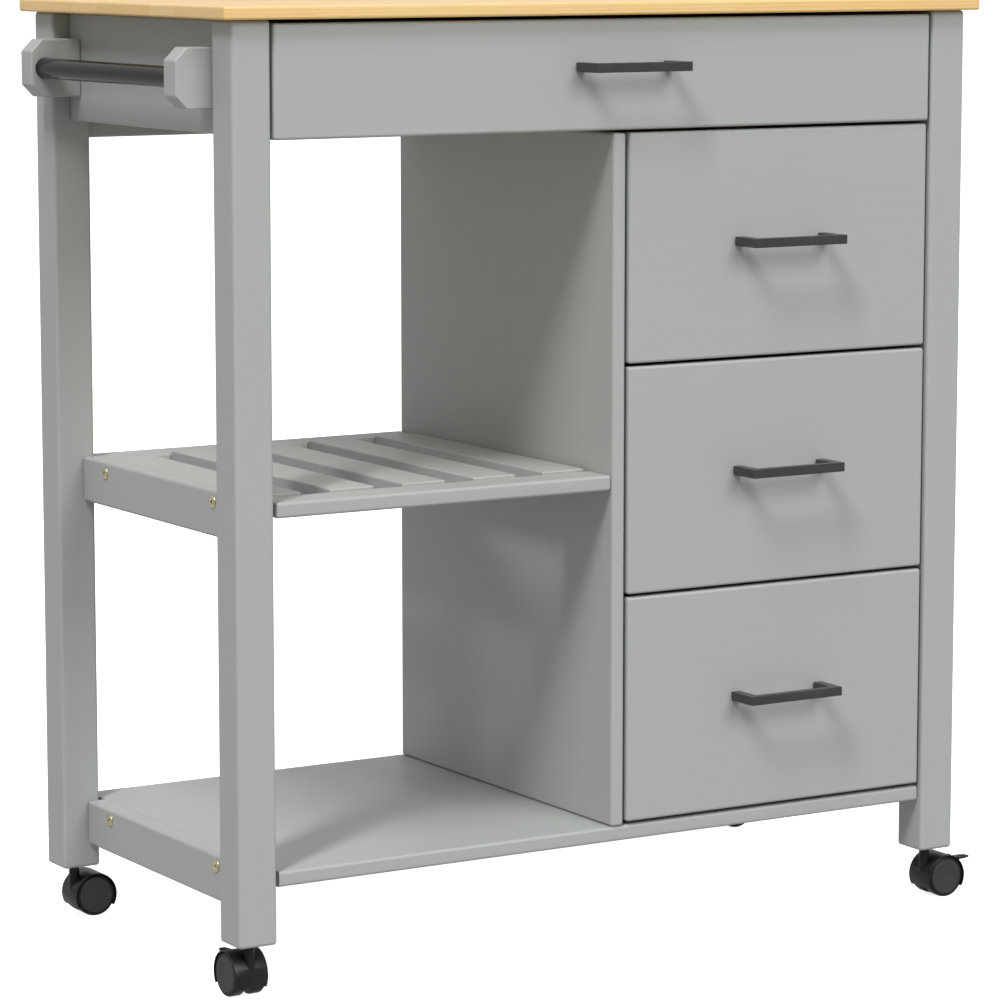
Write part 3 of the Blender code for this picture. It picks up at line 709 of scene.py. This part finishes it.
HOOD_RADIUS = 0.0228
HOOD_WALL = 0.0012
HOOD_HALF = 0.0172
HOOD_LIP = 0.0005
HOOD_BOTTOM = 0.0097
WEB_HALF = 0.004
AXLE_BORE = 0.0034
BOSS_RADIUS = 0.0052
BOSS_GAP = 0.0008
STEM_RADIUS = 0.004
STEM_LENGTH = 0.030
EAR_WALL = 0.001
EAR_NEAR, EAR_FAR = 0.0003, 0.0021
LEVER_BARREL = 0.0018
LEVER_HALF = 0.006
LEVER_THICKNESS = 0.0022
LEVER_EDGE = 0.0006
RIDGE_COUNT = 3
RIDGE_RADIUS = 0.0005
TREAD_OUTER, TREAD_INNER, TREAD_CORNER = 0.0165, 0.0046, 0.0021
HUB_RADIUS = 0.003
DISC_RADIUS = 0.0178
DISC_FACE = 0.0168


def caster_place(name):
    """The caster's matrix (swivel axis at the origin, wheels trailing along +X), trail and wheel radius."""
    swivel = Vector(JOINTS[f"swivel_{name}"]["pos_m"])
    axle = Vector(JOINTS[f"roll_{name}"]["pos_m"])
    heading = math.atan2(axle.y - swivel.y, axle.x - swivel.x)
    trail = (axle - swivel).xy.length
    matrix = Matrix.Translation((swivel.x, swivel.y, 0)) @ Matrix.Rotation(heading, 4, "Z")
    return matrix, trail, axle.z


def lip(radius, half, corner):
    """Half a profile with a rounded rim, from the axis outwards and down to the middle."""
    arc = []
    for step in range(5):
        angle = math.pi / 2 * (1 - step / 4)
        arc.append((radius - corner + corner * math.cos(angle), half - corner + corner * math.sin(angle)))
    return [(0, half), *arc]


def mirrored(half_profile):
    return half_profile + [(radius, -height) for radius, height in reversed(half_profile)]


def make_housing(name, brake):
    matrix, trail, axle_z = caster_place(name)
    node = f"caster_{name}_housing"
    axle = moved_to((trail, 0, axle_z), along_y)
    floor = moved_to((0, 0, 0))
    leg_low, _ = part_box(f"leg_{name}")
    shell = mirrored(lip(HOOD_RADIUS, HOOD_HALF, HOOD_LIP))
    hood = new_piece(f"caster_{name}_hood", turned_work(shell, axle, 120))
    boss_top = leg_low.z - BOSS_GAP
    boss = [(0, axle_z), (BOSS_RADIUS + 0.0006, axle_z), (BOSS_RADIUS, boss_top - 0.0005)]
    boss += [(BOSS_RADIUS - 0.0005, boss_top), (0, boss_top)]
    adds = [new_piece("boss", turned_work(boss, floor, 64))]
    if brake:
        pivot = matrix.inverted() @ Vector(JOINTS[f"press_{name}"]["pos_m"])
        ear = moved_to((pivot.x, 0, pivot.z), along_y)
        radius, near, far = LEVER_BARREL + EAR_WALL, LEVER_HALF + EAR_NEAR, LEVER_HALF + EAR_FAR
        adds += [rod("ear", radius, near, far, ear), rod("ear", radius, -far, -near, ear)]
    joined(hood, adds, "UNION")
    cavity = HOOD_RADIUS - HOOD_WALL
    wide = 2 * HOOD_HALF
    below = box_work((-wide, -wide, -wide), (2 * wide, wide, HOOD_BOTTOM))
    cuts = [
        rod("cavity", cavity, WEB_HALF, wide, axle, 120),
        rod("cavity", cavity, -wide, -WEB_HALF, axle, 120),
        rod("axle_bore", AXLE_BORE, -wide, wide, axle),
        new_piece("below", below),
    ]
    joined(hood, cuts)
    hood.data.transform(matrix)
    show(smooth_by_angle(hood, 32), node, HOOD_NYLON)
    foot, top = boss_top - 0.002, leg_low.z + STEM_LENGTH
    stem = [(0, foot), (STEM_RADIUS, foot), (STEM_RADIUS, top - 0.001), (STEM_RADIUS - 0.001, top), (0, top)]
    pin = new_piece(f"caster_{name}_stem", turned_work(stem, floor, 48), 40)
    pin.data.transform(matrix)
    show(pin, node, STEEL, False)


def make_wheels(name):
    """Black treads on both wheels, joined by the axle, with a lighter disc let into each outer face."""
    matrix, trail, radius = caster_place(name)
    node = f"caster_{name}_wheels"
    axle = moved_to((trail, 0, radius), along_y)
    outer, inner, corner = TREAD_OUTER, TREAD_INNER, TREAD_CORNER
    half = [(0, outer - 0.0006), (DISC_RADIUS + 0.0001, outer - 0.0006), (DISC_RADIUS + 0.0003, outer)]
    for step in range(7):
        angle = math.pi / 2 * (1 - step / 6)
        half.append((radius - corner + corner * math.cos(angle), outer - corner + corner * math.sin(angle)))
    half += [(radius, inner + 0.0012), (radius - 0.0004, inner + 0.0004), (radius - 0.001, inner)]
    half.append((HUB_RADIUS, inner))
    tread = new_piece(f"{node}_tread", turned_work(mirrored(half), axle, 120), 40)
    tread.data.transform(matrix)
    show(tread, node, TREAD_NYLON)
    for side, sign in (("near", -1), ("far", 1)):
        profile = [
            (0, DISC_FACE - 0.0005),
            (0.35 * DISC_RADIUS, DISC_FACE - 0.00045),
            (0.7 * DISC_RADIUS, DISC_FACE - 0.00025),
            (0.93 * DISC_RADIUS, DISC_FACE),
            (0.98 * DISC_RADIUS, DISC_FACE - 0.0001),
            (DISC_RADIUS, DISC_FACE - 0.0005),
            (DISC_RADIUS, DISC_FACE - 0.0011),
            (0, DISC_FACE - 0.0011),
        ]
        outline = [(r, sign * w) for r, w in profile]
        disc = new_piece(f"{node}_disc_{side}", turned_work(outline, axle, 96), 40)
        disc.data.transform(matrix)
        show(disc, node, DISC_NYLON, False)


def make_brake(name):
    """A flat tab on its hinge barrel, with grip ridges near the tip."""
    matrix, _, _ = caster_place(name)
    node = f"caster_{name}_brake"
    pivot = matrix.inverted() @ Vector(JOINTS[f"press_{name}"]["pos_m"])
    corners = [matrix.inverted() @ Vector(c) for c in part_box(node)]
    tip = max(corner.x for corner in corners) - pivot.x
    points = [
        (0, -LEVER_HALF),
        (0.55 * tip, -LEVER_HALF),
        (tip, -0.45 * LEVER_HALF),
        (tip, 0.45 * LEVER_HALF),
        (0.55 * tip, LEVER_HALF),
        (0, LEVER_HALF),
    ]
    half = LEVER_THICKNESS / 2
    cells = [(0, 1, 4, 5), (1, 2, 3, 4)]
    tab = cell_slab(f"{node}_tab", points, cells, -half, half, moved_to(pivot), LEVER_EDGE, 3)
    barrel = rod("barrel", LEVER_BARREL, -LEVER_HALF, LEVER_HALF, moved_to(pivot, along_y), 40)
    ridges = []
    for i in range(RIDGE_COUNT):
        wide = LEVER_HALF * (0.78 - 0.14 * i)
        seat = moved_to(pivot + Vector(((0.5 + 0.13 * i) * tip, 0, half)), along_y)
        ridges.append(rod("ridge", RIDGE_RADIUS, -wide, wide, seat, 16))
    joined(tab, [barrel, *ridges], "UNION")
    tab.data.transform(matrix)
    show(smooth_by_angle(tab, 35), node, HOOD_NYLON)


def make_casters():
    for name in ("front_left", "front_right", "back_left", "back_right"):
        brake = f"press_{name}" in JOINTS
        make_housing(name, brake)
        make_wheels(name)
        if brake:
            make_brake(name)


# ---------------------------------------------------------------- studio


FLOOR_GLOW = 0.85
FLOOR_SIZE = 120.0


def make_floor():
    """A pale plane that runs out of sight. It glows, to come out white, but doesn't light the cart."""
    work = bmesh.new()
    bmesh.ops.create_grid(work, x_segments=1, y_segments=1, size=FLOOR_SIZE)
    floor = new_piece("studio_floor", work)
    s = Shading("studio_floor", Emission_Color=(1, 1, 1, 1), Emission_Strength=FLOOR_GLOW)
    grain = s.noise(s.place(), 60.0, 2.0)
    colour = s.mix(grain, (0.80, 0.80, 0.80), (0.82, 0.82, 0.82))
    floor.data.materials.append(s.finish(colour, 0.9, s.bump(grain, 0.0002, 0.1)))
    floor.visible_diffuse = False
    floor.visible_glossy = False
    floor.visible_shadow = False


AMBIENT = 0.03
LOBES = {
    "up": ((0, 0, 1), 0.38),
    "down": ((0, 0, -1), 0.30),
    "front": ((0, -1, 0), 0.24),
    "back": ((0, 1, 0), 0.44),
    "left": ((-1, 0, 0), 0.19),
    "right": ((1, 0, 0), 0.36),
}


def make_world():
    """Soft light that varies slowly with direction; the camera itself sees plain white."""
    world = bpy.data.worlds.new("studio")
    world.use_nodes = True
    tree = world.node_tree
    background = tree.nodes["Background"]
    direction = tree.nodes.new("ShaderNodeTexCoord").outputs["Generated"]
    total = AMBIENT
    for name, (axis, strength) in LOBES.items():
        facing = tree.nodes.new("ShaderNodeVectorMath")
        facing.operation = "DOT_PRODUCT"
        tree.links.new(direction, facing.inputs[0])
        facing.inputs[1].default_value = axis
        towards = tree.nodes.new("ShaderNodeMath")
        towards.operation = "MAXIMUM"
        tree.links.new(facing.outputs["Value"], towards.inputs[0])
        towards.inputs[1].default_value = 0.0
        lobe = tree.nodes.new("ShaderNodeMath")
        lobe.name = name
        lobe.operation = "MULTIPLY_ADD"
        tree.links.new(towards.outputs[0], lobe.inputs[0])
        lobe.inputs[1].default_value = strength
        if isinstance(total, float):
            lobe.inputs[2].default_value = total
        else:
            tree.links.new(total, lobe.inputs[2])
        total = lobe.outputs[0]
    seen = tree.nodes.new("ShaderNodeMix")
    tree.links.new(tree.nodes.new("ShaderNodeLightPath").outputs["Is Camera Ray"], seen.inputs["Factor"])
    tree.links.new(total, seen.inputs["A"])
    seen.inputs["B"].default_value = 1.0
    tree.links.new(seen.outputs["Result"], background.inputs["Strength"])
    background.inputs["Color"].default_value = (1, 1, 1, 1)
    bpy.context.scene.world = world


AIM = Vector((0, 0, 0.45))
LAMP_DISTANCE = 20.0
SOFTBOXES = {
    "key_low": (54.6, 50, 5, 14, 1.42),
    "key_high": (54.6, 64, 5, 14, 0.63),
    "front": (-10, 31, 24, 26, 1.37),
}


def make_softboxes():
    """Far rectangular lamps that face the cart.

    Each has its azimuth left of the drawers' side, its elevation and its apparent width and height, all in
    degrees, and the irradiance that it gives at the cart.
    """
    for name, (azimuth, elevation, wide, tall, irradiance) in SOFTBOXES.items():
        a, e = math.radians(azimuth), math.radians(elevation)
        towards = Vector((-math.sin(a) * math.cos(e), -math.cos(a) * math.cos(e), math.sin(e)))
        lamp = bpy.data.lights.new(name, "AREA")
        lamp.shape = "RECTANGLE"
        lamp.size = math.radians(wide) * LAMP_DISTANCE
        lamp.size_y = math.radians(tall) * LAMP_DISTANCE
        lamp.energy = math.pi * LAMP_DISTANCE**2 * irradiance
        holder = bpy.data.objects.new(name, lamp)
        holder.location = AIM + towards * LAMP_DISTANCE
        holder.rotation_mode = "QUATERNION"
        holder.rotation_quaternion = (-towards).to_track_quat("-Z", "Y")
        bpy.context.scene.collection.objects.link(holder)


CAMERA_PLACE = (-2.1126, -3.4715, 0.996)
LOOKING_DOWN, LOOKING_RIGHT = 8.065, 31.174
LENS, SENSOR = 146.7, 36.0


def make_camera():
    """A long lens a little above the worktop, left of the drawers' side; angles in degrees, lens in mm."""
    lens = bpy.data.cameras.new("camera")
    lens.lens = LENS
    lens.sensor_width = SENSOR
    lens.clip_end = 500.0
    camera = bpy.data.objects.new("camera", lens)
    camera.location = CAMERA_PLACE
    camera.rotation_euler = (math.radians(90 - LOOKING_DOWN), 0, math.radians(-LOOKING_RIGHT))
    bpy.context.scene.collection.objects.link(camera)
    bpy.context.scene.camera = camera


make_legs()
make_divider()
make_boards()
make_drawers()
make_towel_bar()
make_bolts()
make_casters()
make_floor()
make_world()
make_softboxes()
make_camera()
bpy.context.scene.view_settings.view_transform = "Standard"
